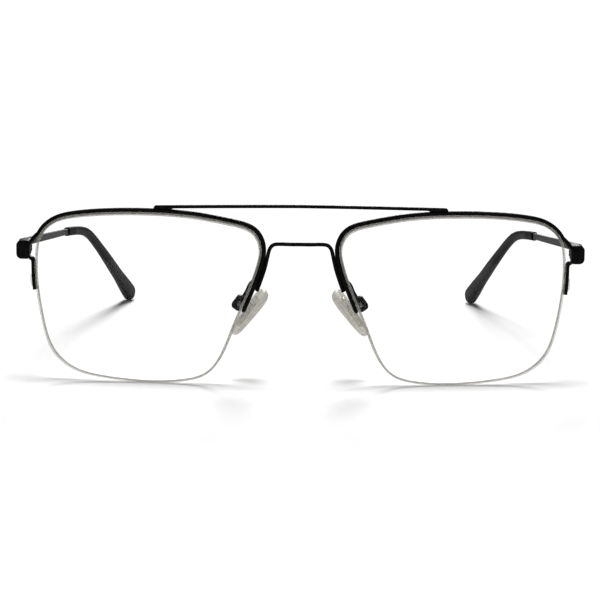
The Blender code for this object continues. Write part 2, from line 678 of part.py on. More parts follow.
def make_nose_pad(name, side, pivot):
    """Soft pad body with a pocket in its back for the hard core."""
    half = PAD_THICK / 2
    place = pad_frame()
    rings = []
    for scale, z in ((0.76, half), (0.93, half * 0.75), (0.99, half * 0.3), (1.0, -half * 0.3), (0.96, -half * 0.8),
                     (0.9, -half)):
        rings.append([place @ point for point in pad_layer(scale, z)])
    made = solid(name, loft(rings), pivot, "silicone_clear", side)
    long_size, wide_size, thick = CORE_PLATE
    pocket = round_box(wide_size + 0.12, long_size + 0.12, 1.5, 3)
    cutter = loft([[place @ Vector((x, y, z)) for x, y in pocket] for z in (-half - 0.5, -half + thick + 0.12)])
    cut(made, [solid(name + ".pocket", cutter, pivot, "silicone_clear", side)])
    return made


def make_pad_core(name, side, pivot):
    """Hard plate set in the pad, with the eye that the pad screw passes through."""
    half = PAD_THICK / 2
    place = pad_frame()
    long_size, wide_size, thick = CORE_PLATE
    outline = round_box(wide_size, long_size, 1.44, 3)
    plate = loft([[place @ Vector((x, y, z)) for x, y in outline] for z in (-half - 0.08, -half + thick + 0.06)])
    eye = cylinder(LUG_RADIUS, (0, -LUG_THICK / 2, 0), (0, LUG_THICK / 2, 0), 16)
    foot = place @ Vector((0, 2.6, -half + 0.1))
    thick_half = LUG_THICK / 2
    neck = loft([[Vector((x, y, z)) for x, z in ((0.0, 0.85), (foot.x, foot.z + 0.9), (foot.x, foot.z - 0.8), (0.0, -0.85))]
                 for y in (-thick_half + 0.02, thick_half - 0.02)])
    made = join_bodies(name, [plate, eye, neck], pivot, "nylon_clear", side)
    hole = cylinder(PIN_HOLE, (0, -1, 0), (0, 1, 0), 12)
    cut(made, [solid(name + ".hole", hole, pivot, "nylon_clear", side)])
    return made


def make_pad_box(name, side, parent):
    """Clevis on the end of the pad arm, leaning with the pad: two cheeks, open towards the nose."""
    wide, deep, tall = BOX_SIZE
    lean = Matrix.Translation(PAD_PIVOT) @ Matrix.Rotation(-PAD_LEAN, 4, "Y")
    outline = round_box(wide, tall, BOX_ROUND, 3)
    body = loft([[Vector((x + BOX_OFF, y, z)) for x, z in outline] for y in (-deep / 2, deep / 2)])
    slot = slab(Vector((-3.0, -BOX_SLOT / 2, -tall)), Vector((LUG_RADIUS + 0.18, BOX_SLOT / 2, tall)))
    bore = cylinder(PIN_HOLE, (0, -2, 0), (0, 2, 0), 12)
    for mesh in (body, slot, bore):
        mesh.transform(lean)
    made = solid(name, body, parent, "frame_black", side)
    cut(made, [solid(name + ".slot", slot, parent, "frame_black", side),
               solid(name + ".bore", bore, parent, "frame_black", side)])
    return made


def make_pad_screw(name, side, parent):
    deep = BOX_SIZE[1] / 2
    rings = []
    for radius, y in ((0.55, -deep - 0.28), (0.7, -deep - 0.18), (0.7, -deep - FIT), (PIN_RADIUS, -deep - FIT),
                      (PIN_RADIUS, deep + 0.05), (PIN_RADIUS - 0.12, deep + 0.15)):
        rings.append([PAD_PIVOT + Vector((a, y, b)) for a, b in circle(radius, 12)])
    return solid(name, loft(rings), parent, "screw_dark", side)


def make_pad_arm(name, side, parent):
    """Wire from the back of the rim round to the top of the pad box."""
    path = smooth_curve(ARM_PATH, 18)
    return solid(name, tube(path, ARM_RADIUS, 8, up=(0.0, 1.0, 0.0)), parent, "frame_black", side)


# ---- assembly -----------------------------------------------------------
def build():
    clear_scene()
    front = empty("front", (0, -DEPTH_CENTRE, 0))
    make_brow_bar(front)
    make_bridge(front)
    for label, side in SIDES.items():
        make_lens("lens_" + label, side, front)
        make_rim("rim_" + label, side, front)
        make_liner("rim_liner_" + label, side, front)
        make_cord("nylon_cord_" + label, side, front)
        make_endpiece("endpiece_" + label, side, front)
        make_keeper("cord_keeper_" + label, side, front)
        make_pad_arm("pad_arm_" + label, side, front)
        make_pad_box("pad_box_" + label, side, front)
        make_pad_screw("pad_screw_" + label, side, front)
        slope = Matrix.Rotation(-TEMPLE_SLOPE, 4, "X")
        hinge = empty("hinge_" + label, (side * HINGE.x, HINGE.y, HINGE.z), slope, front)
        make_front_hinge("hinge_front_" + label, side, hinge)
        make_hinge_screw("hinge_screw_" + label, side, hinge)
        make_temple_hinge("hinge_temple_" + label, side, hinge)
        make_temple("temple_" + label, side, hinge)
        make_tip("temple_tip_" + label, side, hinge)
        pad = empty("pad_pivot_" + label, (side * PAD_PIVOT.x, PAD_PIVOT.y, PAD_PIVOT.z), None, front)
        make_nose_pad("nose_pad_" + label, side, pad)
        make_pad_core("pad_core_" + label, side, pad)


build()
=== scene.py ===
"""Looks of the half rim eyeglasses: fine pieces and their materials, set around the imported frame.

Lengths are millimetres in the glasses' own space until a mesh is written: x grows outward from the nose, y runs
back from the lens fronts along the temples and z is up from the table. One side is described, and the other is its
mirror image. piece() writes a mesh in the frame's metres.
"""
import bpy
import bmesh
import numpy as np
from math import cos, hypot, pi, radians, sin, sqrt
from mathutils import Matrix, Vector


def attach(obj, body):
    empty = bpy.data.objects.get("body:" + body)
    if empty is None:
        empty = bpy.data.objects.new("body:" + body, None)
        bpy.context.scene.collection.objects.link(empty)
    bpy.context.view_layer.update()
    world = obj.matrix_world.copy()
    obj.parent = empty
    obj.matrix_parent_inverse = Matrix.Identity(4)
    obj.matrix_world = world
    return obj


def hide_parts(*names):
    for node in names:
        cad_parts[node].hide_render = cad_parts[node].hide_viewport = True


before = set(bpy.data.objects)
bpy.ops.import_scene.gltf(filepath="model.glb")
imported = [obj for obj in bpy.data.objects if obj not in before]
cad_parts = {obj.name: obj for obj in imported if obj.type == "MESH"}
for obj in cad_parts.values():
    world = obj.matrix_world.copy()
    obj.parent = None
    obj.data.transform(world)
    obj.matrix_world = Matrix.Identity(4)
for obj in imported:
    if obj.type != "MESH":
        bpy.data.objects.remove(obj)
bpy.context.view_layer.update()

MM = 0.001
SIDES = {"right": -1.0, "left": 1.0}
DEPTH_CENTRE = 70.4                           # the frame's origin, behind the lens fronts

# ---- lenses, rims, liners and cords ---------------------------------------
LENS_OUTLINE = (                              # about the boxed centre: u towards the temple, v upward
    (0.0, 21.38), (10.0, 21.1), (18.4, 20.2), (24.0, 18.5), (27.5, 15.0), (28.6, 9.5),
    (28.3, 2.0), (26.8, -7.0), (24.2, -14.3), (19.6, -18.4), (11.0, -20.6), (0.0, -21.38),
    (-9.0, -20.9), (-15.2, -18.9), (-18.9, -14.4), (-22.4, -6.0), (-25.6, 1.6), (-28.1, 9.0),
    (-28.6, 12.8), (-26.8, 16.8), (-21.5, 19.0), (-12.0, 20.7),
)
LENS_CENTRE = Vector((38.45, 0.15, 21.38))
LENS_WRAP = radians(7.0)
LENS_RADIUS = 132.0
LENS_THICK = 2.0
LENS_STEPS = 240
LENS_RINGS = (0.12, 0.3, 0.5, 0.7, 0.85, 0.94)
LENS_BEVEL = 0.06
LENS_SHOULDER_V = 16.0                        # above the lens's straight sides
LENS_SIDE_U = 20.0                            # farther out than this, the outline is a side
GROOVE_WIDE = 0.62
GROOVE_DEEP = (0.57, 0.42)                    # where the cord runs, and the gain under the rim's liner; the gain makes the frosted edge band wider than the real groove, partly real groove and partly painted reflection of the edge seen inside the lens
GROOVE_LEAN = Vector((-0.6, 0.8))             # the way the deepest part of the groove faces
FORE = Vector((sin(LENS_WRAP), -cos(LENS_WRAP), 0))
FIT = 0.04
RIM_THICK = 0.95
RIM_DEEP = 1.75
RIM_ROUND = 0.42
RIM_CHANNEL_DEEP = 0.32
RIM_NASAL_V = -2.4
RIM_TEMPLE_V = 14.9
RIM_TAIL = ((1.35, -1.1), (0.75, -1.95), (0.0, -2.55))
LINER_WIDE = 0.5
LINER_DEEP = 0.62
CORD_RADIUS = 0.22
CORD_SEAT = -0.34

# ---- brow bar and bridge ---------------------------------------------------
BAR_HALF = 36.4
BAR_LUG = 4.2
BAR_TALL = 0.8
BAR_DEEP = 1.2
BAR_TOP = 45.1
BAR_DROP = 0.6
BAR_BACK = 2.4
BAR_BOW = 1.6
BAR_ROUND = 0.75
WIRE_RADIUS = 0.48
BRIDGE_TOP = ((0.0, 0.1, 35.38), (3.4, 0.15, 35.38), (5.6, 0.3, 35.38), (6.75, 0.42, 35.12), (7.42, 0.58, 34.45),
              (7.93, 0.85, 33.0))
LEG_OFFSET = RIM_THICK + 2 * FIT + WIRE_RADIUS
LEG_V = (9.6, 2.85)
BRAZE_TOP_V = 11.0

# ---- endpieces, cord keepers and hinges ------------------------------------
BLOCK_IN, BLOCK_OUT = 67.75, 71.1
BLOCK_LOW, BLOCK_TOP = 30.15, 34.85
BLOCK_FRONT = 7.1
BLOCK_ROUND, BLOCK_EDGE = 1.3, 0.4            # corners seen from the front, and the front face's rim
HINGE = Vector((68.8, 13.0, 32.75))
TEMPLE_SLOPE = radians(4.1)
BARREL_RADIUS = 1.0
BARREL_HOLE = 0.62
BARREL_EDGE = 0.08
BARREL_SIDES = 36
SCREW_RADIUS = 0.5
SCREW_HEAD = 0.85
KNUCKLE = 0.78
KNUCKLE_GAP = 0.04
LEAF_FRONT = -1.62
LEAF_THICK = 0.5
LEAF_START, LEAF_LONG, LEAF_TALL = 1.1, 3.6, 1.1
KEEPER_WIDE = 0.85
KEEPER_DEEP = 1.9
KEEPER_HOLE_V = (2.15, 5.0)
KEEPER_HOLE = 0.4
KEEPER_END_V = 1.35
KEEPER_TOP_V = 8.0
KEEPER_RISE = 0.3
KEEPER_BEND = ((0.55, 0.06), (0.2, 0.24), (0.03, 0.6))

# ---- temples ----------------------------------------------------------------
TEMPLE_PATH = ((70.45, 11.9, 33.6), (69.9, 22.0, 32.95), (68.7, 39.0, 31.75), (67.3, 60.0, 30.2),
               (66.3, 76.5, 28.95), (64.9, 88.5, 27.9), (62.95, 98.5, 26.05), (61.35, 106.0, 22.6),
               (59.6, 114.5, 17.9), (56.8, 127.5, 10.1), (54.0, 139.9, 2.35))
STRIP_WIDE = 1.0
STRIP_TALL = (2.1, 1.65)
BUTT_TALL = 3.1
BUTT_STEPS = 16                               # steps of the path over which the butt narrows to the strip
STRIP_GROOVES = 3
GROOVE_SHARE = 0.09
GROOVE_CUT = 0.07
GROOVE_FADE = 6                               # steps before the grooves begin, and over which they deepen
COVER_START_Y = 76.5
COVER_SIZE = ((1.95, 2.5), (1.95, 2.55), (2.2, 2.85), (2.7, 3.7), (3.7, 5.0))
TEMPLE_STEPS = 180
COLLAR_LONG = 8.0
TIP_SIDES = 28
TIP_ROUND = 1.76                              # reach of the rounded end beyond the path

# ---- nose pads --------------------------------------------------------------
PAD_PIVOT = Vector((15.1, 7.9, 19.4))
PAD_CENTRE = Vector((12.62, 8.0, 17.07))
PAD_LEAN = radians(36.0)
PAD_SPLAY = radians(9.0)
PAD_LONG, PAD_WIDE, PAD_THICK = 13.9, 7.6, 2.0
PAD_SQUARE = 2.9                              # 2 is an ellipse, more is fuller at the ends
PAD_TAPER, PAD_WEDGE = 0.28, 0.25             # how much narrower and thinner the lower end is
PAD_LAYERS = ((0.5, 1.0), (0.78, 0.98), (0.89, 0.88), (0.95, 0.68), (0.985, 0.36), (1.0, 0.0), (1.0, -0.3),
              (0.985, -0.62), (0.955, -0.85), (0.92, -0.96), (0.88, -1.0))
CORE_PLATE = (8.6, 3.6, 0.6)
BOX_SIZE = (2.8, 2.4, 3.7)
BOX_ROUND = 0.9
BOX_OFF = 0.25
BOX_SLOT = 0.95
LUG_THICK = 0.8
LUG_RADIUS = 1.0
PIN_RADIUS = 0.42
PIN_HOLE = 0.52
ARM_RADIUS = 0.45
ARM_PATH = ((11.4, 2.2, 25.9), (11.75, 4.0, 25.55), (12.35, 6.0, 24.85), (12.9, 7.5, 23.75), (13.4, 8.0, 22.55),
            (14.22, 7.9, 21.13))

# ---- camera ------------------------------------------------------------------
CAMERA_BACK = 500.0                           # in front of the lens fronts
CAMERA_HIGH = 97.1
CAMERA_DOWN = radians(8.59)
CAMERA_ROLL = 0.0100
CAMERA_LENS = 122.7

# ---- light: two soft lamps, one low behind the glasses and one almost over them
SUNS = ((28, 16, 3.15), (84, 20, 2.05))       # height above the floor and spread in degrees, strength
KEY_HEADING = 3.5
WORLD_STRENGTH = 0.1
FLOOR_HALF = 60.0                             # metres, so that its far edge stays out of the picture
FLOOR_DROP = 0.00003


# ---- curves -------------------------------------------------------------------
def smooth_curve(points, count, closed=False):
    """Points along the cubic spline through the given ones, evenly spaced."""
    knots = np.array(points, float)
    if closed:
        knots = np.vstack([knots[-3:], knots, knots[:4]])
    reach = np.concatenate([[0.0], np.cumsum(np.linalg.norm(np.diff(knots, axis=0), axis=1))])
    gap = np.diff(reach)
    size = len(knots)
    system = np.eye(size)
    right = np.zeros_like(knots)
    for i in range(1, size - 1):
        system[i, i - 1:i + 2] = gap[i - 1], 2 * (gap[i - 1] + gap[i]), gap[i]
        right[i] = 6 * ((knots[i + 1] - knots[i]) / gap[i] - (knots[i] - knots[i - 1]) / gap[i - 1])
    bend = np.linalg.solve(system, right)

    def at(distance):
        i = int(np.clip(np.searchsorted(reach, distance) - 1, 0, size - 2))
        a, b = reach[i + 1] - distance, distance - reach[i]
        return ((bend[i] * a ** 3 + bend[i + 1] * b ** 3) / (6 * gap[i])
                + (knots[i] / gap[i] - bend[i] * gap[i] / 6) * a
                + (knots[i + 1] / gap[i] - bend[i + 1] * gap[i] / 6) * b)

    first, last = (reach[3], reach[-4]) if closed else (0.0, reach[-1])
    fine = np.array([at(d) for d in np.linspace(first, last, 60 * len(points))])
    run = np.concatenate([[0.0], np.cumsum(np.linalg.norm(np.diff(fine, axis=0), axis=1))])
    wanted = np.linspace(0.0, run[-1], count + 1)[:-1] if closed else np.linspace(0.0, run[-1], count)
    return [np.array([np.interp(d, run, fine[:, k]) for k in range(fine.shape[1])]) for d in wanted]


def lens_normals(outline):
    """Unit normals of a closed outline, pointing outward."""
    normals = []
    for i in range(len(outline)):
        step = outline[(i + 1) % len(outline)] - outline[i - 1]
        normal = np.array((-step[1], step[0])) / hypot(step[0], step[1])
        normals.append(-normal if normal @ outline[i] < 0 else normal)
    return normals


OUTLINE = smooth_curve(LENS_OUTLINE, LENS_STEPS, closed=True)
NORMALS = lens_normals(OUTLINE)


def lens_sag(u, v):
    """How far the curved face has fallen back from the lens centre."""
    return sqrt(LENS_RADIUS ** 2 - u * u - v * v) - LENS_RADIUS


def lens_to_front(u, v, w):
    """A place u out, v up and w forward of the lens centre."""
    return LENS_CENTRE + Vector((u * cos(LENS_WRAP) + w * sin(LENS_WRAP),
                                 u * sin(LENS_WRAP) - w * cos(LENS_WRAP), v))


def edge_place(point, normal, out, forward):
    """A place beside the lens edge: out of the outline, forward of its middle."""
    u, v = point + normal * out
    return lens_to_front(u, v, lens_sag(*point) - LENS_THICK / 2 + forward)


def edge_run(start_v, end_v, over_top):
    """Outline places and normals from the nose side to the temple side."""
    stations = list(zip(OUTLINE, NORMALS))
    top = max(range(LENS_STEPS), key=lambda i: OUTLINE[i][1])
    ahead = 1 if OUTLINE[(top + 1) % LENS_STEPS][0] > OUTLINE[top][0] else -1
    middle = top if over_top else min(range(LENS_STEPS), key=lambda i: OUTLINE[i][1])
    outward = ahead if over_top else -ahead
    halves = []
    for way, goal in ((-outward, start_v), (outward, end_v)):
        half = [stations[middle]]
        while (half[-1][0][1] > goal) == over_top:
            half.append(stations[(middle + way * len(half)) % LENS_STEPS])
        last, spare = half[-2], half.pop()
        share = (goal - last[0][1]) / (spare[0][1] - last[0][1])
        if share > 0.05:
            half.append(tuple(last[k] + (spare[k] - last[k]) * share for k in (0, 1)))
        halves.append(half)
    return halves[0][:0:-1] + halves[1]


def tangents(path):
    """Unit directions along a path, one at each of its points."""
    steps = []
    for i in range(len(path)):
        step = Vector(path[min(i + 1, len(path) - 1)]) - Vector(path[max(i - 1, 0)])
        steps.append(step.normalized())
    return steps


# ---- meshes -------------------------------------------------------------------
def loft(rings):
    """A skin through rings of equal length, capped at both ends."""
    made = bmesh.new()
    rows = [[made.verts.new(point) for point in ring] for ring in rings]
    count = len(rows[0])
    for low, high in zip(rows, rows[1:]):
        for i in range(count):
            j = (i + 1) % count
            made.faces.new((low[i], low[j], high[j], high[i]))
    made.faces.new(rows[0])
    made.faces.new(rows[-1])
    return made


def circle(radius, sides):
    """A round outline about the origin."""
    angles = [2 * pi * k / sides for k in range(sides)]
    return [(radius * cos(a), radius * sin(a)) for a in angles]


def round_box(wide, tall, edge, steps=4):
    """A rectangle outline with rounded corners."""
    points = []
    for corner in range(4):
        cx = (wide / 2 - edge) * (1 if corner in (0, 3) else -1)
        cy = (tall / 2 - edge) * (1 if corner in (0, 1) else -1)
        for k in range(steps + 1):
            angle = pi / 2 * (corner + k / steps)
            points.append((cx + edge * cos(angle), cy + edge * sin(angle)))
    return points


def sweep(path, section, up, ends=0.0):
    """A section carried along a path without twist; each end is rounded over the length given."""
    stations = [(Vector(place), way, 1.0) for place, way in zip(path, tangents(path))]
    if ends:
        arcs = [(ends * sin(a), cos(a)) for a in (radians(d) for d in (80, 60, 38, 18))]
        first, last = stations[0], stations[-1]
        stations = ([(first[0] - first[1] * ahead, first[1], size) for ahead, size in arcs] + stations
                    + [(last[0] + last[1] * ahead, last[1], size) for ahead, size in reversed(arcs)])
    rings = []
    across = None
    for place, way, size in stations:
        across = Vector(up).cross(way) if across is None else across - way * across.dot(way)
        across.normalize()
        lift = way.cross(across)
        rings.append([place + (across * a + lift * b) * size for a, b in section])
    return loft(rings)


def turned(profile, sides, along="z"):
    """A body turned about the z or y axis from (radius, height) points."""
    rings = []
    for radius, height in profile:
        ring = []
        for a, b in circle(radius, sides):
            ring.append(Vector((a, b, height)) if along == "z" else Vector((a, height, b)))
        rings.append(ring)
    return loft(rings)


def slab(low, high, bevel=0.06):
    """A box between two corners with its edges broken."""
    low, high = Vector(low), Vector(high)
    middle, size = (low + high) / 2, high - low
    made = bmesh.new()
    bmesh.ops.create_cube(made, size=1.0, matrix=Matrix.Translation(middle) @ Matrix.Diagonal((*size, 1.0)))
    bmesh.ops.bevel(made, geom=made.edges[:], offset=bevel, segments=2, affect="EDGES", profile=0.5)
    return made


TO_FRAME = Matrix.Translation((0, -DEPTH_CENTRE, 0))
HINGE_PLACE = Matrix.Translation(HINGE) @ Matrix.Rotation(-TEMPLE_SLOPE, 4, "X")
PAD_PLACE = Matrix.Translation(PAD_PIVOT)


def mesh_object(name, made, side, place):
    """Carries a mesh from its own place to the frame's metres, mirrored for the right side, as an object."""
    made.transform(Matrix.Diagonal((side * MM, MM, MM, 1.0)) @ TO_FRAME @ (place or Matrix.Identity(4)))
    bmesh.ops.recalc_face_normals(made, faces=made.faces)
    mesh = bpy.data.meshes.new(name)
    made.to_mesh(mesh)
    made.free()
    obj = bpy.data.objects.new(name, mesh)
    bpy.context.scene.collection.objects.link(obj)
    return obj


def combine(obj, others, operation):
    """Boolean with closed bodies, applied, and the bodies removed."""
    for other in others:
        change = obj.modifiers.new("combine", "BOOLEAN")
        change.operation = operation
        change.solver = "EXACT"
        change.object = other
    graph = bpy.context.evaluated_depsgraph_get()
    made = bpy.data.meshes.new_from_object(obj.evaluated_get(graph))
    obj.modifiers.clear()
    obj.data = made
    for other in others:
        bpy.data.objects.remove(other)


def piece(name, made, look, body, nodes, side=1.0, place=None, add=(), cut=(), sharp=38.0):
    """One visible piece: written, finished with its material, riding on its body and standing for its CAD node."""
    obj = mesh_object(name, made, side, place)
    if add:
        combine(obj, [mesh_object(name + ".add", b, side, place) for b in add], "UNION")
    if cut:
        combine(obj, [mesh_object(name + ".cut", b, side, place) for b in cut], "DIFFERENCE")
    mesh = obj.data
    looks = look if isinstance(look, tuple) else (look,)
    for made_of in looks:
        mesh.materials.append(made_of)
    mesh.shade_smooth()
    mesh.set_sharp_from_angle(angle=radians(sharp))
    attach(obj, body)
    if nodes:
        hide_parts(*nodes)


# ---- materials ------------------------------------------------------------------
LENS_ALPHA = (0.006, 0.95)                    # seen square on, and seen edge-on


def finish(name, colour, rough, metal=0.0, specular=0.5):
    """A material with one Principled shader."""
    made = bpy.data.materials.new(name)
    made.use_nodes = True
    shader = made.node_tree.nodes["Principled BSDF"]
    shader.inputs["Base Color"].default_value = (*colour, 1)
    shader.inputs["Roughness"].default_value = rough
    shader.inputs["Metallic"].default_value = metal
    shader.inputs["Specular IOR Level"].default_value = specular
    return made


def texture(mat, scale, detail=3.0, stretch=(1, 1, 1)):
    """Noise in the piece's own space, in features per metre, stretched along an axis if asked."""
    nodes, links = mat.node_tree.nodes, mat.node_tree.links
    place = nodes.new("ShaderNodeTexCoord")
    scaled = nodes.new("ShaderNodeMapping")
    scaled.inputs["Scale"].default_value = [scale * s for s in stretch]
    noise = nodes.new("ShaderNodeTexNoise")
    noise.inputs["Scale"].default_value = 1.0
    noise.inputs["Detail"].default_value = detail
    links.new(place.outputs["Object"], scaled.inputs["Vector"])
    links.new(scaled.outputs["Vector"], noise.inputs["Vector"])
    return noise.outputs["Fac"]


def ramp(mat, value, low, high, start=0.35, end=0.65):
    """Maps a noise value onto a range of numbers."""
    made = mat.node_tree.nodes.new("ShaderNodeMapRange")
    made.inputs["From Min"].default_value = start
    made.inputs["From Max"].default_value = end
    made.inputs["To Min"].default_value = low
    made.inputs["To Max"].default_value = high
    mat.node_tree.links.new(value, made.inputs["Value"])
    return made.outputs["Result"]


def vary_colour(mat, value, low, high, start=0.35, end=0.65):
    """Blends the base colour between two by a noise value."""
    nodes, links = mat.node_tree.nodes, mat.node_tree.links
    mix = nodes.new("ShaderNodeMix")
    mix.data_type = "RGBA"
    mix.inputs[6].default_value = (*low, 1)
    mix.inputs[7].default_value = (*high, 1)
    links.new(ramp(mat, value, 0.0, 1.0, start, end), mix.inputs[0])
    links.new(mix.outputs[2], nodes["Principled BSDF"].inputs["Base Color"])


def vary(mat, socket, value, low, high):
    """Drives one of the shader's numbers by a noise value."""
    mat.node_tree.links.new(ramp(mat, value, low, high), mat.node_tree.nodes["Principled BSDF"].inputs[socket])


def relief(mat, value, height, strength=1.0):
    """Fine bump, its height in metres."""
    nodes, links = mat.node_tree.nodes, mat.node_tree.links
    bump = nodes.new("ShaderNodeBump")
    bump.inputs["Strength"].default_value = strength
    bump.inputs["Distance"].default_value = height
    links.new(value, bump.inputs["Height"])
    links.new(bump.outputs["Normal"], nodes["Principled BSDF"].inputs["Normal"])


def black_coat():
    """Satin black coating over the wire: a fine orange peel and a slightly uneven sheen."""
    mat = finish("black_coat", (0.006, 0.006, 0.0062), 0.5, 0.0, 0.02)
    vary_colour(mat, texture(mat, 900, 4), (0.004, 0.004, 0.0042), (0.008, 0.008, 0.0083))
    vary(mat, "Roughness", texture(mat, 1500, 3), 0.42, 0.56)
    relief(mat, texture(mat, 5200, 2), 0.000012, 0.5)
    return mat


def temple_coat():
    """Dark grey coated strip with fine drawn lines along its length."""
    mat = finish("temple_coat", (0.03, 0.0296, 0.0285), 0.5, 0.0, 0.07)
    lines = texture(mat, 9000, 2, (1.0, 0.02, 1.0))
    vary_colour(mat, lines, (0.016, 0.0158, 0.015), (0.042, 0.0415, 0.04))
    vary(mat, "Roughness", lines, 0.42, 0.58)
    relief(mat, lines, 0.00001, 0.6)
    return mat


def tip_mould():
    """Matt charcoal moulding with a fine spark-eroded grain."""
    mat = finish("tip_mould", (0.007, 0.007, 0.0072), 0.5, 0.0, 0.04)
    vary_colour(mat, texture(mat, 260, 4), (0.005, 0.005, 0.0053), (0.009, 0.009, 0.0094))
    vary(mat, "Roughness", texture(mat, 2600, 3), 0.42, 0.56)
    relief(mat, texture(mat, 7000, 2), 0.00002, 0.6)
    return mat


def tip_collar():
    """Smooth black band where the strip enters the tip."""
    mat = finish("tip_collar", (0.005, 0.005, 0.0052), 0.55, 0.0, 0.02)
    vary(mat, "Roughness", texture(mat, 1500, 3), 0.5, 0.62)
    relief(mat, texture(mat, 5200, 2), 0.00001, 0.4)
    return mat


def see_through(mat, low, high, blend=0.4):
    """Lets what is behind show, less where the surface turns away."""
    nodes, links = mat.node_tree.nodes, mat.node_tree.links
    facing = nodes.new("ShaderNodeLayerWeight")
    facing.inputs["Blend"].default_value = blend
    links.new(ramp(mat, facing.outputs["Facing"], low, high, 0.0, 1.0), nodes["Principled BSDF"].inputs["Alpha"])


def lens_face():
    """Clear coated lens surface: what is behind shows, and the gloss grows where the surface turns away."""
    mat = finish("lens_face", (0.95, 0.96, 0.955), 0.02, 1.0)
    nodes, links = mat.node_tree.nodes, mat.node_tree.links
    facing = nodes.new("ShaderNodeLayerWeight")
    facing.inputs["Blend"].default_value = 0.5
    gloss = nodes.new("ShaderNodeMath")
    gloss.operation = "POWER"
    gloss.inputs[1].default_value = 2.0
    links.new(facing.outputs["Facing"], gloss.inputs[0])
    links.new(ramp(mat, gloss.outputs[0], *LENS_ALPHA, 0.0, 1.0), nodes["Principled BSDF"].inputs["Alpha"])
    return mat


def lens_edge():
    """Ground edge and groove of the lens: frosted, warm grey and half clear."""
    mat = finish("lens_edge", (0.52, 0.49, 0.44), 0.6, 0.0, 0.15)
    vary_colour(mat, texture(mat, 1800, 3), (0.47, 0.443, 0.395), (0.57, 0.54, 0.485))
    see_through(mat, 0.45, 0.6)
    relief(mat, texture(mat, 9000, 2), 0.00001, 0.5)
    return mat


def nylon():
    """Clear monofilament."""
    mat = finish("nylon_line", (0.66, 0.64, 0.6), 0.22, 0.0, 0.5)
    vary_colour(mat, texture(mat, 700, 2), (0.6, 0.58, 0.54), (0.72, 0.7, 0.66))
    see_through(mat, 0.3, 0.75)
    return mat


def smoked_nylon():
    """Dark grey bead that beds the lens in the rim, partly clear."""
    mat = finish("smoked_nylon", (0.15, 0.147, 0.135), 0.4, 0.0, 0.3)
    vary_colour(mat, texture(mat, 700, 2), (0.13, 0.127, 0.117), (0.17, 0.166, 0.153))
    see_through(mat, 0.75, 0.9)
    return mat


def silicone():
    """Soft clear silicone, faintly cloudy, denser where it is seen edge-on."""
    mat = finish("silicone_pad", (0.54, 0.515, 0.45), 0.5, 0.0, 0.12)
    vary_colour(mat, texture(mat, 330, 3), (0.45, 0.425, 0.37), (0.63, 0.605, 0.53))
    vary(mat, "Roughness", texture(mat, 1300, 2), 0.42, 0.58)
    see_through(mat, 0.5, 0.8)
    relief(mat, texture(mat, 1100, 2), 0.00001, 0.3)
    return mat


def pad_plastic():
    """Clear hard plastic of the pad's core."""
    mat = finish("core_plastic", (0.62, 0.6, 0.56), 0.2, 0.0, 0.5)
    vary_colour(mat, texture(mat, 600, 2), (0.55, 0.53, 0.49), (0.68, 0.66, 0.62))
    see_through(mat, 0.25, 0.7)
    return mat


def turned_steel():
    """Dark plated screw with the fine rings that turning leaves."""
    mat = finish("turned_steel", (0.1, 0.1, 0.1), 0.3, 0.9, 0.5)
    rings = texture(mat, 12000, 2, (1.0, 1.0, 0.3))
    vary_colour(mat, rings, (0.07, 0.07, 0.07), (0.16, 0.16, 0.158))
    vary(mat, "Roughness", rings, 0.24, 0.4)
    relief(mat, rings, 0.000008, 0.5)
    return mat


BLACK, STRIP, TIP, COLLAR = black_coat(), temple_coat(), tip_mould(), tip_collar()
CLEAR, GROUND, NYLON, SMOKE = lens_face(), lens_edge(), nylon(), smoked_nylon()
SILICONE, CORE, STEEL = silicone(), pad_plastic(), turned_steel()


# ---- lenses, rims, liners and cords --------------------------------------------
def groove_depth(normal):
    """Depth of the groove where the lens edge faces the given way."""
    return GROOVE_DEEP[0] + GROOVE_DEEP[1] * max(Vector(normal).dot(GROOVE_LEAN), 0.0)


def make_lens(label, side):
    """Clear lens: front rings, the ground edge with its groove, and back rings, closed by a fan at each face."""
    half, middle, b = GROOVE_WIDE / 2, -LENS_THICK / 2, LENS_BEVEL
    profile = [(b, 0.0, 0.0), (0.0, 0.0, -b), (0.0, 0.0, middle + half), (-0.12, 1.0, middle + half * 0.92),
               (0.0, 1.0, middle + half * 0.45), (0.0, 1.0, middle - half * 0.45),
               (-0.12, 1.0, middle - half * 0.92), (0.0, 0.0, middle - half), (0.0, 0.0, b - LENS_THICK),
               (b, 0.0, -LENS_THICK)]
    rings = [[lens_to_front(*(p * s), lens_sag(*(p * s))) for p in OUTLINE] for s in LENS_RINGS]
    for inset, grooved, depth in profile:
        ring = []
        for p, n in zip(OUTLINE, NORMALS):
            place = p - n * (inset + grooved * groove_depth(n))
            ring.append(lens_to_front(*place, lens_sag(*place) + depth))
        rings.append(ring)
    for s in reversed(LENS_RINGS):
        rings.append([lens_to_front(*(p * s), lens_sag(*(p * s)) - LENS_THICK) for p in OUTLINE])
    made = bmesh.new()
    rows = [[made.verts.new(point) for point in ring] for ring in rings]
    start = len(LENS_RINGS)
    for index, (low, high) in enumerate(zip(rows, rows[1:])):
        ground = start <= index < start + len(profile) - 1
        for i in range(LENS_STEPS):
            j = (i + 1) % LENS_STEPS
            made.faces.new((low[i], low[j], high[j], high[i])).material_index = int(ground)
    for row, depth in ((rows[0], 0.0), (rows[-1], LENS_THICK)):
        hub = made.verts.new(lens_to_front(0.0, 0.0, -depth))
        for i in range(LENS_STEPS):
            made.faces.new((hub, row[i], row[(i + 1) % LENS_STEPS]))
    piece("lens_%s.clear" % label, made, (CLEAR, GROUND), "front", ["lens_" + label], side, sharp=20.0)


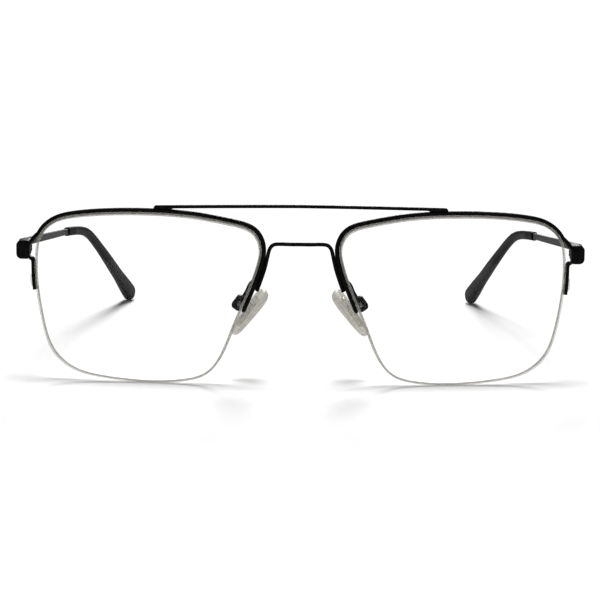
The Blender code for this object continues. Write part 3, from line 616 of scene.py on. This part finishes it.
def rim_profile():
    """Section of the rim wire: half round outside, with the channel for the liner inside."""
    inner, outer = FIT, FIT + RIM_THICK
    half, groove = RIM_DEEP / 2, GROOVE_WIDE / 2
    floor = inner + RIM_CHANNEL_DEEP
    round_out = []
    for k in range(13):
        angle = pi * k / 12
        round_out.append((outer - RIM_ROUND * (1 - sin(angle) ** 0.8), -half * cos(angle)))
    return ([(inner + 0.07, -half)] + round_out + [(inner + 0.07, half), (inner, half - 0.07), (inner, groove),
            (floor, groove), (floor, -groove), (inner, -groove), (inner, -half + 0.07)])


def make_rim(label, side):
    """Channel wire over the top of a lens: a rounded end beside the nose, and a sweep onto the endpiece block."""
    profile = rim_profile()
    run = edge_run(RIM_NASAL_V, RIM_TEMPLE_V, True)
    middle = FIT + RIM_THICK / 2
    places = [edge_place(p, n, 0.0, 0.0) for p, n in run]
    back = (places[0] - places[1]).normalized()
    rings = []
    for angle in (78, 55, 30):
        ahead, size = RIM_THICK / 2 * sin(radians(angle)), cos(radians(angle))
        p, n = run[0]
        rings.append([edge_place(p, n, middle + (out - middle) * size, forward * (0.6 + 0.4 * size)) + back * ahead
                      for out, forward in profile])
    for p, n in run:
        rings.append([edge_place(p, n, out, forward) for out, forward in profile])
    leave = places[-1]
    tail = [Vector((BLOCK_IN - FIT - short, leave.y + 0.1, leave.z + down)) for short, down in RIM_TAIL]
    path = [leave + Vector(p) for p in smooth_curve([tuple(q - leave) for q in [leave] + tail], 12)]
    for place, way in list(zip(path, tangents(path)))[1:]:
        out = FORE.cross(way).normalized()
        rings.append([place + out * a + FORE * b for a, b in profile])
    rings[-1] = [Vector((BLOCK_IN - FIT / 2, point.y, point.z)) for point in rings[-1]]
    piece("rim_%s.wire" % label, loft(rings), BLACK, "front", ["rim_" + label], side)


def make_liner(label, side):
    """Bead between the rim's channel and the lens groove."""
    half, low, high = LINER_WIDE / 2, FIT - LINER_DEEP, RIM_CHANNEL_DEEP
    section = [((low + high) / 2 + a, b) for a, b in round_box(high - low, 2 * half, 0.12, 2)]
    run = edge_run(RIM_NASAL_V + 2.6, RIM_TEMPLE_V - 0.6, True)[::2]
    rings = [[edge_place(p, n, out, forward) for out, forward in section] for p, n in run]
    piece("rim_liner_%s.bead" % label, loft(rings), SMOKE, "front", ["rim_liner_" + label], side)


def make_cord(label, side):
    """The line in the lens groove, out and back through the keeper's two holes."""
    low, high = KEEPER_HOLE_V
    path = [edge_place(p, n, CORD_SEAT, 0.0) for p, n in edge_run(RIM_NASAL_V + 1.2, low - 0.6, False)]
    out = KEEPER_WIDE + 2 * FIT + 0.2
    turn = []
    for v, reach in ((low - 0.2, CORD_SEAT + 0.03), (low - 0.02, 0.0), (low, 0.3), (low, out - 0.15),
                     (low + 0.12, out + 0.05), (low + 0.4, out + 0.12), (high - 0.4, out + 0.12),
                     (high - 0.12, out + 0.05), (high, out - 0.15), (high, 0.0)):
        turn.append(edge_place(*edge_run(RIM_NASAL_V, v, False)[-1], reach, 0.0))
    turn = [Vector(p) for p in smooth_curve([tuple(p) for p in [path[-1]] + turn], 44)][1:]
    made = sweep(path[::2] + turn, circle(CORD_RADIUS, 10), (0.0, 1.0, 0.0), 0.12)
    piece("nylon_cord_%s.line" % label, made, NYLON, "front", ["nylon_cord_" + label], side)


# ---- brow bar and bridge ---------------------------------------------------------
def rim_top(x):
    """Height of the rim's upper side at a distance from the nose."""
    places = [edge_place(p, n, FIT + RIM_THICK, 0.0) for p, n in edge_run(LENS_SHOULDER_V, LENS_SHOULDER_V, True)]
    return float(np.interp(x, [p.x for p in places], [p.z for p in places]))


def make_brow_bar():
    """Flat bar over the nose, each end swelling down into the lug brazed on a rim."""
    lug = BAR_HALF - BAR_LUG
    ends = [BAR_HALF - BAR_ROUND * (1 - sin(a)) for a in np.linspace(0, pi / 2, 7)]
    stations = list(np.linspace(0.0, lug - 1.2, 30)) + list(np.linspace(lug - 0.9, BAR_HALF - 1.0, 16)) + ends
    rings = []
    for x in [-s for s in reversed(stations[1:])] + stations:
        reach = abs(x) / BAR_HALF
        top = BAR_TOP - BAR_DROP * reach ** 1.5
        low = top - BAR_TALL
        share = min(max((abs(x) - lug + 0.9) / 0.9, 0.0), 1.0)
        low += (rim_top(abs(x)) + FIT / 2 - low) * share * share * (3 - 2 * share)
        over = max(abs(x) - (BAR_HALF - BAR_ROUND), 0.0)
        top -= BAR_ROUND - sqrt(max(BAR_ROUND ** 2 - over ** 2, 0.0))
        narrow = 1 - 0.25 * (over / BAR_ROUND) ** 3
        back = BAR_BACK - BAR_BOW * (1 - reach ** 2)
        edge = min(0.2, (top - low) * 0.3)
        section = round_box(BAR_DEEP * narrow, top - low, edge, 3)
        rings.append([Vector((x, back + y, (top + low) / 2 + z)) for y, z in section])
    piece("brow_bar.flat", loft(rings), BLACK, "front", ["brow_bar"])


def leg_run(top=LEG_V[0]):
    """Outline places beside a bridge leg, from its foot up to the height given."""
    return [(p, n) for p, n in edge_run(LEG_V[1], LENS_SHOULDER_V, True) if p[0] < -LENS_SIDE_U and p[1] <= top]


def make_bridge():
    """Round wire across the nose with two legs brazed down the rims' nose sides."""
    leg = [edge_place(p, n, LEG_OFFSET, 0.0) for p, n in reversed(leg_run()[::3])]
    half = smooth_curve([tuple(p) for p in BRIDGE_TOP] + [tuple(p) for p in leg], 70)
    path = [Vector((-p[0], p[1], p[2])) for p in reversed(half[1:])] + [Vector(p) for p in half]
    piece("bridge.wire", sweep(path, circle(WIRE_RADIUS, 18), (0.0, 1.0, 0.0), 0.14), BLACK, "front", ["bridge"])


def make_braze(label, side):
    """Braze that fills the crevice between a bridge leg and the rim."""
    path = [edge_place(p, n, FIT + RIM_THICK + 0.06, 0.0) for p, n in leg_run(BRAZE_TOP_V)[1::2]]
    made = sweep(path, [(a, b * 0.8) for a, b in circle(0.3, 10)], (0.0, 1.0, 0.0), 0.2)
    piece("bridge_braze_" + label, made, BLACK, "front", [], side)


# ---- endpieces, keepers and hinges -------------------------------------------------
def make_endpiece(label, side):
    """Rounded block at the outer corner; its back face stands square to the hinge."""
    wide, tall = BLOCK_OUT - BLOCK_IN, BLOCK_TOP - BLOCK_LOW
    cx, cz = (BLOCK_OUT + BLOCK_IN) / 2, (BLOCK_TOP + BLOCK_LOW) / 2
    outline = []
    for x, z in round_box(wide, tall, BLOCK_ROUND, 8):
        if x < 0:
            x = max(x, -wide / 2) if abs(z) < tall / 2 - 0.35 else max(x - 0.6, -wide / 2)
        outline.append((x, z))

    def ring_at(y, shrink):
        return [Vector((cx + x * (1 - 2 * shrink / wide), y, cz + z * (1 - 2 * shrink / tall)))
                for x, z in outline]

    rings = []
    for angle in (0, 22, 45, 67, 90):
        shrink = BLOCK_EDGE * (1 - sin(radians(angle)))
        rings.append(ring_at(BLOCK_FRONT + BLOCK_EDGE - BLOCK_EDGE * cos(radians(angle)), shrink))
    for short, shrink in ((0.12, 0.0), (0.0, 0.1)):
        ring = []
        for point in ring_at(HINGE.y, shrink):
            local = HINGE_PLACE.inverted() @ point
            ring.append(HINGE_PLACE @ Vector((local.x, LEAF_FRONT - FIT - short, local.z)))
        rings.append(ring)
    piece("endpiece_%s.block" % label, loft(rings), BLACK, "front", ["endpiece_" + label], side)


def make_keeper(label, side):
    """Strut down the lens edge from the endpiece, with the two holes that hold the cord."""
    offset = 2 * FIT + KEEPER_WIDE / 2
    run = edge_run(RIM_NASAL_V, KEEPER_END_V, True)
    strut = [(p, n) for p, n in run if p[0] > LENS_SIDE_U and p[1] <= KEEPER_TOP_V]
    down = [edge_place(p, n, offset, 0.0) for p, n in strut]
    start = Vector((BLOCK_IN - FIT / 2, down[0].y, BLOCK_LOW + KEEPER_RISE))
    corner = Vector((down[0].x, down[0].y, start.z))
    bend = [corner + (start - corner) * a + (down[0] - corner) * b for a, b in KEEPER_BEND]
    lead = [Vector(p) for p in smooth_curve([tuple(p) for p in [start] + bend + [down[0]]], 16)]
    path = lead[:-1] + down
    ways = tangents(path)
    rings = []
    for place, way in zip(path, ways):
        out = FORE.cross(way).normalized()
        rings.append([place + out * a + FORE * b for a, b in round_box(KEEPER_WIDE, KEEPER_DEEP, 0.2, 3)])
    for ahead, size in ((0.14, 0.9), (0.22, 0.7)):
        out = FORE.cross(ways[-1]).normalized()
        rings.append([path[-1] + ways[-1] * ahead + (out * a + FORE * b) * size
                      for a, b in round_box(KEEPER_WIDE, KEEPER_DEEP, 0.2, 3)])
    holes = []
    for v in KEEPER_HOLE_V:
        p, n = edge_run(RIM_NASAL_V, v, False)[-1]
        ends = [edge_place(p, n, -0.6, 0.0), edge_place(p, n, KEEPER_WIDE + 1.2, 0.0)]
        holes.append(sweep(ends, circle(KEEPER_HOLE, 16), (0.0, 1.0, 0.0)))
    piece("cord_keeper_%s.strut" % label, loft(rings), BLACK, "front", ["cord_keeper_" + label], side, cut=holes)


def barrel(low, high):
    """One knuckle on the hinge axis, its rims broken."""
    inset = BARREL_RADIUS - BARREL_EDGE
    return turned(((inset, low), (BARREL_RADIUS, low + BARREL_EDGE), (BARREL_RADIUS, high - BARREL_EDGE),
                   (inset, high)), BARREL_SIDES)


def bore():
    """The screw's hole through the hinge."""
    return turned(((BARREL_HOLE, -2.0), (BARREL_HOLE, 2.0)), BARREL_SIDES)


def make_hinge(label, side):
    """Front half with two knuckles, temple half with one between them, and the slotted screw through all."""
    tall = 1.5 * KNUCKLE + KNUCKLE_GAP
    inner, half = KNUCKLE / 2 + KNUCKLE_GAP, KNUCKLE / 2
    plate = slab((-0.98, LEAF_FRONT, -tall), (0.9, LEAF_FRONT + LEAF_THICK, tall))
    outer = ((-tall, -inner), (inner, tall))
    webs = [slab((-0.75, LEAF_FRONT + 0.1, low), (0.75, -0.3, high), 0.03) for low, high in outer]
    rings = [barrel(low, high) for low, high in outer]
    piece("hinge_front_%s.knuckles" % label, plate, BLACK, "front", ["hinge_front_" + label], side, HINGE_PLACE,
          add=webs + rings, cut=[bore()])
    face = temple_face(LEAF_START), temple_face(LEAF_START + LEAF_LONG)
    leaf = loft([[Vector((x, y, z)) for x, z in ((f - 0.4, -LEAF_TALL), (f - 0.02, -LEAF_TALL),
                                                 (f - 0.02, LEAF_TALL), (f - 0.4, LEAF_TALL))]
                 for y, f in ((LEAF_START, face[0]), (LEAF_START + LEAF_LONG, face[1]))])
    arm = slab((0.1, -0.3, -half), (face[0] - 0.1, LEAF_START + 0.6, half), 0.03)
    piece("hinge_temple_%s.leaf" % label, leaf, BLACK, "temple_" + label, ["hinge_temple_" + label], side,
          HINGE_PLACE, add=[arm, barrel(-half, half)], cut=[bore()])
    head = ((SCREW_HEAD * 0.55, tall + 0.46), (SCREW_HEAD - 0.14, tall + 0.42), (SCREW_HEAD - 0.03, tall + 0.33),
            (SCREW_HEAD, tall + 0.24), (SCREW_HEAD, tall + 0.1), (SCREW_HEAD - 0.06, tall + FIT),
            (SCREW_RADIUS, tall + FIT), (SCREW_RADIUS, -tall - 0.1), (SCREW_RADIUS - 0.06, -tall - 0.17),
            (SCREW_RADIUS - 0.14, -tall - 0.22))
    slot = slab((-1.2, -0.1, tall + 0.24), (1.2, 0.1, tall + 0.8), 0.01)
    piece("hinge_screw_%s.turned" % label, turned(head, 32), STEEL, "front", ["hinge_screw_" + label], side,
          HINGE_PLACE, cut=[slot])


# ---- temples --------------------------------------------------------------------------
def temple_rows():
    """The temple's centre line with its across and up directions, in the hinge's space."""
    back = HINGE_PLACE.inverted()
    places = [back @ Vector(p) for p in smooth_curve(TEMPLE_PATH, TEMPLE_STEPS)]
    rows = []
    for place, way in zip(places, tangents(places)):
        across = way.cross(Vector((0, 0, 1))).normalized()
        rows.append((place, across, across.cross(way)))
    return rows


ROWS = temple_rows()
COVER_FIRST = min(range(TEMPLE_STEPS), key=lambda i: abs((HINGE_PLACE @ ROWS[i][0]).y - COVER_START_Y))


def temple_face(y):
    """Inner face of the strip at a distance behind the hinge axis."""
    return float(np.interp(y, [r[0].y for r in ROWS], [r[0].x for r in ROWS])) - STRIP_WIDE / 2 - 0.13


def section(row, wide, tall, sides, square):
    """A rounded section: an ellipse swelled towards its box by the power given."""
    place, across, up = row
    points = []
    for k in range(sides):
        angle = 2 * pi * (k + 0.5) / sides
        c, s = cos(angle), sin(angle)
        grow = (abs(c) ** square + abs(s) ** square) ** (-1 / square)
        points.append(place + across * (wide / 2 * c * grow) + up * (tall / 2 * s * grow))
    return points


def strip_outline(wide, tall, depth):
    """Strip section: rounded edges, and shallow grooves along both broad faces."""
    edge = 0.16
    face = []
    for g in range(STRIP_GROOVES):
        middle = ((g + 0.5) / STRIP_GROOVES - 0.5) * (tall - 2 * edge - 0.1)
        half = tall * GROOVE_SHARE / 2
        face += [(0.0, middle - half), (depth, middle - half * 0.4),
                 (depth, middle + half * 0.4), (0.0, middle + half)]
    corner = [(edge * (1 - cos(a)), edge * (1 - sin(a))) for a in (0, pi / 6, pi / 3, pi / 2)]
    outer = ([(wide / 2 - b, -tall / 2 + a) for b, a in reversed(corner)] + [(wide / 2 - d, z) for d, z in face]
             + [(wide / 2 - b, tall / 2 - a) for b, a in corner])
    return outer + [(-x, z) for x, z in reversed(outer)]


def make_temple(label, side):
    """Grooved strip, taller where it butts on the endpiece, running a little way into its tip."""
    rings = []
    for i in range(COVER_FIRST + 3):
        place, across, up = ROWS[i]
        share = i / COVER_FIRST
        tall = STRIP_TALL[0] + (STRIP_TALL[1] - STRIP_TALL[0]) * share
        swell = max(0.0, 1 - i / BUTT_STEPS)
        swell = swell * swell * (3 - 2 * swell)
        shift = -(BUTT_TALL - tall) / 2 * swell
        depth = GROOVE_CUT * min(1.0, max(0.0, (i - GROOVE_FADE) / GROOVE_FADE))
        outline = strip_outline(STRIP_WIDE + 0.2 * swell, tall + (BUTT_TALL - tall) * swell, depth)
        size = 1.0 if i else 0.86
        rings.append([place + across * (x * size) + up * (z * size + shift) for x, z in outline])
    piece("temple_%s.strip" % label, loft(rings), STRIP, "temple_" + label, ["temple_" + label], side, HINGE_PLACE)


def cover_size(share):
    """Width and height of the tip at a share of its length."""
    spans = len(COVER_SIZE) - 1
    k = min(int(share * spans), spans - 1)
    t = share * spans - k
    t = t * t * (3 - 2 * t) if k == spans - 1 else t
    return [COVER_SIZE[k][j] * (1 - t) + COVER_SIZE[k + 1][j] * t for j in (0, 1)]


def make_tip(label, side):
    """Moulded sleeve: a rolled lip where the strip enters it, a slim neck and a full rounded end."""
    rings = []
    last = TEMPLE_STEPS - 1
    lip = ((0.1, 0.74), (0.0, 0.86), (0.08, 0.95), (0.25, 1.0))
    place, across, up = ROWS[COVER_FIRST]
    way = (ROWS[COVER_FIRST + 1][0] - place).normalized()
    for ahead, size in lip:
        wide, tall = (size * s for s in COVER_SIZE[0])
        rings.append(section((place + way * ahead, across, up), wide, tall, TIP_SIDES, square=2.8))
    for i in range(COVER_FIRST + 1, last + 1):
        wide, tall = cover_size((i - COVER_FIRST) / (last - COVER_FIRST))
        rings.append(section(ROWS[i], wide, tall, TIP_SIDES, square=2.6))
    place, across, up = ROWS[last]
    way = (ROWS[last][0] - ROWS[last - 1][0]).normalized()
    for angle in (20, 38, 54, 68, 80):
        ahead, size = TIP_ROUND * sin(radians(angle)), cos(radians(angle)) ** 0.85
        wide, tall = (size * s for s in COVER_SIZE[-1])
        rings.append(section((place + way * ahead, across, up), wide, tall, TIP_SIDES, square=2.5))
    made = loft(rings)
    for face in made.faces:
        face.material_index = int(face.calc_center_median().y < ROWS[COVER_FIRST][0].y + COLLAR_LONG)
    piece("temple_tip_%s.sleeve" % label, made, (TIP, COLLAR), "temple_" + label, ["temple_tip_" + label], side,
          HINGE_PLACE)


# ---- nose pads --------------------------------------------------------------------------
def pad_frame():
    """Pad space: x along its width, y along its length, z out of the face to the nose."""
    long_way = Vector((-sin(PAD_LEAN), 0, cos(PAD_LEAN)))
    face = Vector((-cos(PAD_LEAN), 0, -sin(PAD_LEAN))) * cos(PAD_SPLAY) + Vector((0, sin(PAD_SPLAY), 0))
    turn = Matrix((long_way.cross(face), long_way, face)).transposed().to_4x4()
    return Matrix.Translation(PAD_CENTRE - PAD_PIVOT) @ turn


def pad_outline(scale, steps=56):
    """Long outline with blunt ends, wider at its upper end."""
    points = []
    for k in range(steps):
        angle = 2 * pi * (k + 0.5) / steps
        c, s = cos(angle), sin(angle)
        grow = scale * (abs(c) ** PAD_SQUARE + abs(s) ** PAD_SQUARE) ** (-1 / PAD_SQUARE)
        points.append((PAD_WIDE / 2 * c * grow * (1 + PAD_TAPER * s), PAD_LONG / 2 * s * grow))
    return points


def pad_layer(scale, z):
    """One ring of the pad; the face side thins toward the lower end, the back stays flat."""
    wedge = 2 * PAD_WEDGE / PAD_LONG if z > 0 else 0.0
    return [Vector((x, y, z * (1 + wedge * y))) for x, y in pad_outline(scale)]


def make_nose_pad(label, side):
    """Soft pad body with a pocket in its back for the hard core."""
    half, place = PAD_THICK / 2, pad_frame()
    rings = []
    for scale, z in PAD_LAYERS:
        rings.append([place @ point for point in pad_layer(scale, z * half)])
    long_size, wide_size, thick = CORE_PLATE
    pocket = [[place @ Vector((x, y, z)) for x, y in round_box(wide_size + 0.12, long_size + 0.12, 1.5, 8)]
              for z in (-half - 0.5, -half + thick + 0.12)]
    piece("nose_pad_%s.soft" % label, loft(rings), SILICONE, "nose_pad_" + label, ["nose_pad_" + label], side,
          PAD_PLACE, cut=[loft(pocket)])


def make_pad_core(label, side):
    """Hard plate set in the pad, with the eye that the pad screw passes through."""
    half, place = PAD_THICK / 2, pad_frame()
    long_size, wide_size, thick = CORE_PLATE
    layers = ((-half - 0.08, 0.12), (-half - 0.02, 0.0), (-half + thick, 0.0), (-half + thick + 0.06, 0.12))
    plate = loft([[place @ Vector((x, y, z)) for x, y in round_box(wide_size - cut, long_size - cut, 1.44, 8)]
                  for z, cut in layers])
    eye = turned(((LUG_RADIUS - 0.08, -LUG_THICK / 2), (LUG_RADIUS, 0.08 - LUG_THICK / 2),
                  (LUG_RADIUS, LUG_THICK / 2 - 0.08), (LUG_RADIUS - 0.08, LUG_THICK / 2)), 32, along="y")
    foot = place @ Vector((0, 2.6, -half + 0.1))
    side_view = ((0.0, 0.85), (foot.x, foot.z + 0.9), (foot.x, foot.z - 0.8), (0.0, -0.85))
    neck = loft([[Vector((x, y, z)) for x, z in side_view] for y in (0.02 - LUG_THICK / 2, LUG_THICK / 2 - 0.02)])
    hole = turned(((PIN_HOLE, -1.0), (PIN_HOLE, 1.0)), 24, along="y")
    piece("pad_core_%s.plate" % label, plate, CORE, "nose_pad_" + label, ["pad_core_" + label], side, PAD_PLACE,
          add=[eye, neck], cut=[hole])


def make_pad_box(label, side):
    """Clevis on the arm's end, leaning with the pad: two cheeks, open towards the nose."""
    wide, deep, tall = BOX_SIZE
    rings = []
    for y, cut in ((-deep / 2, 0.24), (-deep / 2 + 0.04, 0.1), (-deep / 2 + 0.12, 0.0), (deep / 2 - 0.12, 0.0),
                   (deep / 2 - 0.04, 0.1), (deep / 2, 0.24)):
        rings.append([Vector((x + BOX_OFF, y, z)) for x, z in round_box(wide - cut, tall - cut, BOX_ROUND, 7)])
    slot = slab((-3.0, -BOX_SLOT / 2, -tall), (LUG_RADIUS + 0.18, BOX_SLOT / 2, tall), 0.01)
    hole = turned(((PIN_HOLE, -2.0), (PIN_HOLE, 2.0)), 24, along="y")
    piece("pad_box_%s.clevis" % label, loft(rings), BLACK, "front", ["pad_box_" + label], side,
          PAD_PLACE @ Matrix.Rotation(-PAD_LEAN, 4, "Y"), cut=[slot, hole])


def make_pad_screw(label, side):
    """Slotted screw across the clevis and the core's eye."""
    deep = BOX_SIZE[1] / 2
    profile = ((0.3, -deep - 0.3), (0.55, -deep - 0.28), (0.66, -deep - 0.2), (0.7, -deep - 0.12),
               (0.7, -deep - FIT), (PIN_RADIUS, -deep - FIT), (PIN_RADIUS, deep + 0.05),
               (PIN_RADIUS - 0.12, deep + 0.15))
    slot = slab((-1.0, -deep - 0.6, -0.07), (1.0, -deep - 0.18, 0.07), 0.01)
    piece("pad_screw_%s.turned" % label, turned(profile, 28, along="y"), STEEL, "front", ["pad_screw_" + label],
          side, PAD_PLACE, cut=[slot])


def make_pad_arm(label, side):
    """Round wire from the back of the rim to the pad box."""
    path = [Vector(p) for p in smooth_curve(ARM_PATH, 48)]
    piece("pad_arm_%s.wire" % label, sweep(path, circle(ARM_RADIUS, 16), (0.0, 1.0, 0.0)), BLACK, "front",
          ["pad_arm_" + label], side)


# ---- stage -------------------------------------------------------------------------------
def make_floor():
    """Plain sheet under the glasses."""
    made = bmesh.new()
    bmesh.ops.create_grid(made, x_segments=1, y_segments=1, size=FLOOR_HALF)
    mesh = bpy.data.meshes.new("floor")
    made.to_mesh(mesh)
    made.free()
    floor = bpy.data.objects.new("floor", mesh)
    bpy.context.scene.collection.objects.link(floor)
    floor.location = (0, 0, -FLOOR_DROP)
    mat = bpy.data.materials.new("floor_paper")
    mat.use_nodes = True
    shader = mat.node_tree.nodes["Principled BSDF"]
    shader.inputs["Base Color"].default_value = (0.9, 0.9, 0.9, 1)
    shader.inputs["Roughness"].default_value = 0.9
    shader.inputs["Specular IOR Level"].default_value = 0.0
    mesh.materials.append(mat)


def make_sun(name, heading, height, spread, strength):
    """A distant soft lamp: where it stands, in degrees from the camera's line and above the floor."""
    lamp = bpy.data.lights.new(name, "SUN")
    lamp.angle = radians(spread)
    lamp.energy = strength
    made = bpy.data.objects.new(name, lamp)
    bpy.context.scene.collection.objects.link(made)
    a, e = radians(heading), radians(height)
    made.rotation_euler = Vector((sin(a) * cos(e), cos(a) * cos(e), sin(e))).to_track_quat("Z", "Y").to_euler()


def make_stage():
    """Floor, lamps, even world light and the camera."""
    make_floor()
    for height, spread, strength in SUNS:
        make_sun("sun_%d" % height, KEY_HEADING, height, spread, strength)
    world = bpy.data.worlds.new("studio")
    world.use_nodes = True
    world.node_tree.nodes["Background"].inputs["Color"].default_value = (1, 1, 1, 1)
    world.node_tree.nodes["Background"].inputs["Strength"].default_value = WORLD_STRENGTH
    bpy.context.scene.world = world
    bpy.context.scene.view_settings.view_transform = "Standard"
    camera = bpy.data.objects.new("camera", bpy.data.cameras.new("camera"))
    bpy.context.scene.collection.objects.link(camera)
    camera.data.lens = CAMERA_LENS
    camera.data.sensor_width = 36.0
    camera.data.clip_start = 0.01
    camera.data.clip_end = 200.0
    camera.matrix_world = (Matrix.Translation((0, -(CAMERA_BACK + DEPTH_CENTRE) * MM, CAMERA_HIGH * MM))
                           @ Matrix.Rotation(pi / 2 - CAMERA_DOWN, 4, "X") @ Matrix.Rotation(CAMERA_ROLL, 4, "Z"))
    bpy.context.scene.camera = camera


make_stage()
make_brow_bar()
make_bridge()
for label, side in SIDES.items():
    for make in (make_lens, make_rim, make_liner, make_cord, make_braze, make_endpiece, make_keeper, make_hinge,
                 make_temple, make_tip, make_nose_pad, make_pad_core, make_pad_box, make_pad_screw, make_pad_arm):
        make(label, side)
